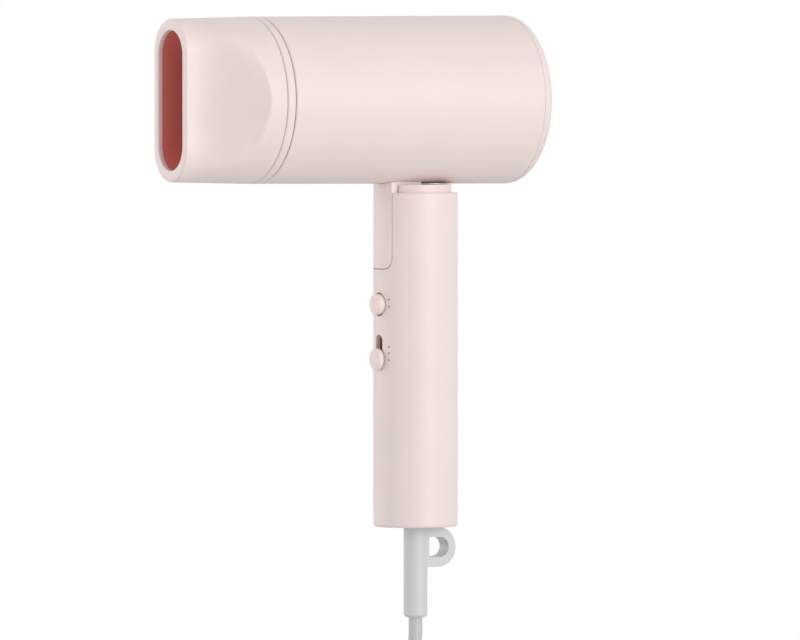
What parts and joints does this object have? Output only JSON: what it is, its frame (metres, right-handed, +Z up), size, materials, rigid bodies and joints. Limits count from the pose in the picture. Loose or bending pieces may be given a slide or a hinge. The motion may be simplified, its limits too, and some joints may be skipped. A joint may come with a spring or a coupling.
{
  "type": "travel hair dryer",
  "caption": "Folding travel hair dryer: round barrel with a flat swivelling concentrator nozzle, slim round handle with button and slide switch, hanging loop and folded mains lead.",
  "frame": {"origin": "on the handle's axis at the middle of the clear stretch of the grip", "axes": "+Z up the handle towards the barrel, -X the way the nozzle points, +Y across"},
  "size_m": [0.169, 0.0728, 0.5113],
  "materials": {
    "shell_pink": "fine satin moulded plastic, pale pink",
    "deep_red": "matte brick red plastic",
    "mica": "pressed mica board",
    "steel": "plated steel",
    "black_plastic": "black moulded plastic",
    "inner_plastic": "off-white moulded plastic",
    "circuit_board": "green solder mask",
    "capacitor": "yellow film capacitor case",
    "wire": "wire insulation",
    "relief_grey": "light grey soft vinyl"
  },
  "bodies": {
    "handle": {"handle_tube": "shell_pink", "handle_end_cap": "shell_pink", "hinge_bracket": "shell_pink", "hinge_pin": "steel", "board_carrier": "inner_plastic", "circuit_board": "circuit_board", "filter_capacitor": "capacitor", "board_diodes": "black_plastic", "cool_switch": "black_plastic", "slide_switch": "black_plastic", "handle_leads": "wire", "strain_relief": "relief_grey", "cord_tail": "relief_grey", "cord_clamp": "inner_plastic", "clamp_screws": "steel", "power_cord": "relief_grey", "cord_hank": "relief_grey", "cord_tie": "black_plastic", "cord_end": "relief_grey", "plug_body": "relief_grey", "plug_pins": "steel"},
    "barrel": {"barrel_housing": "shell_pink", "rear_cap": "shell_pink", "inlet_grille": "shell_pink", "inlet_filter": "black_plastic", "front_spigot": "shell_pink", "outlet_grille": "deep_red", "inner_duct": "deep_red", "mica_sleeve": "mica", "heater_frame": "mica", "heater_coils": "steel", "thermostat": "black_plastic", "thermal_fuse": "steel", "motor_mount": "inner_plastic", "motor_can": "steel", "motor_end_cap": "black_plastic", "hinge_arm": "shell_pink", "hinge_tongue": "shell_pink", "hinge_screws": "steel", "hinge_washers": "steel", "barrel_leads": "wire"},
    "fan": {"motor_shaft": "steel", "impeller": "inner_plastic"},
    "nozzle_ring": {"swivel_ring": "shell_pink"},
    "nozzle": {"nozzle_shell": "shell_pink", "nozzle_liner": "deep_red"},
    "button": {"cool_button": "shell_pink"},
    "knob": {"slide_knob": "shell_pink", "slide_shutter": "deep_red"}
  },
  "joints": [
    {"name": "barrel_fold", "type": "hinge", "parent": "handle", "child": "barrel", "pos_m": [-0.008, 0, 0.097], "axis": [0, -1, 0], "range_deg": [0, 90]},
    {"name": "fan_spin", "type": "hinge", "parent": "barrel", "child": "fan", "pos_m": [0.03, 0, 0.14993], "axis": [1, 0, 0], "continuous": true},
    {"name": "nozzle_turn", "type": "hinge", "parent": "barrel", "child": "nozzle_ring", "pos_m": [-0.08, 0, 0.14993], "axis": [1, 0, 0], "continuous": true},
    {"name": "nozzle_pull", "type": "slide", "parent": "nozzle_ring", "child": "nozzle", "axis": [-1, 0, 0], "range_m": [0, 0.03]},
    {"name": "cool_press", "type": "slide", "parent": "handle", "child": "button", "axis": [1, 0, 0], "range_m": [0, 0.0015], "stiffness_N_per_m": 600, "springref_m": -0.0015},
    {"name": "power_slide", "type": "slide", "parent": "handle", "child": "knob", "axis": [0, 0, 1], "range_m": [0, 0.007]}
  ]
}
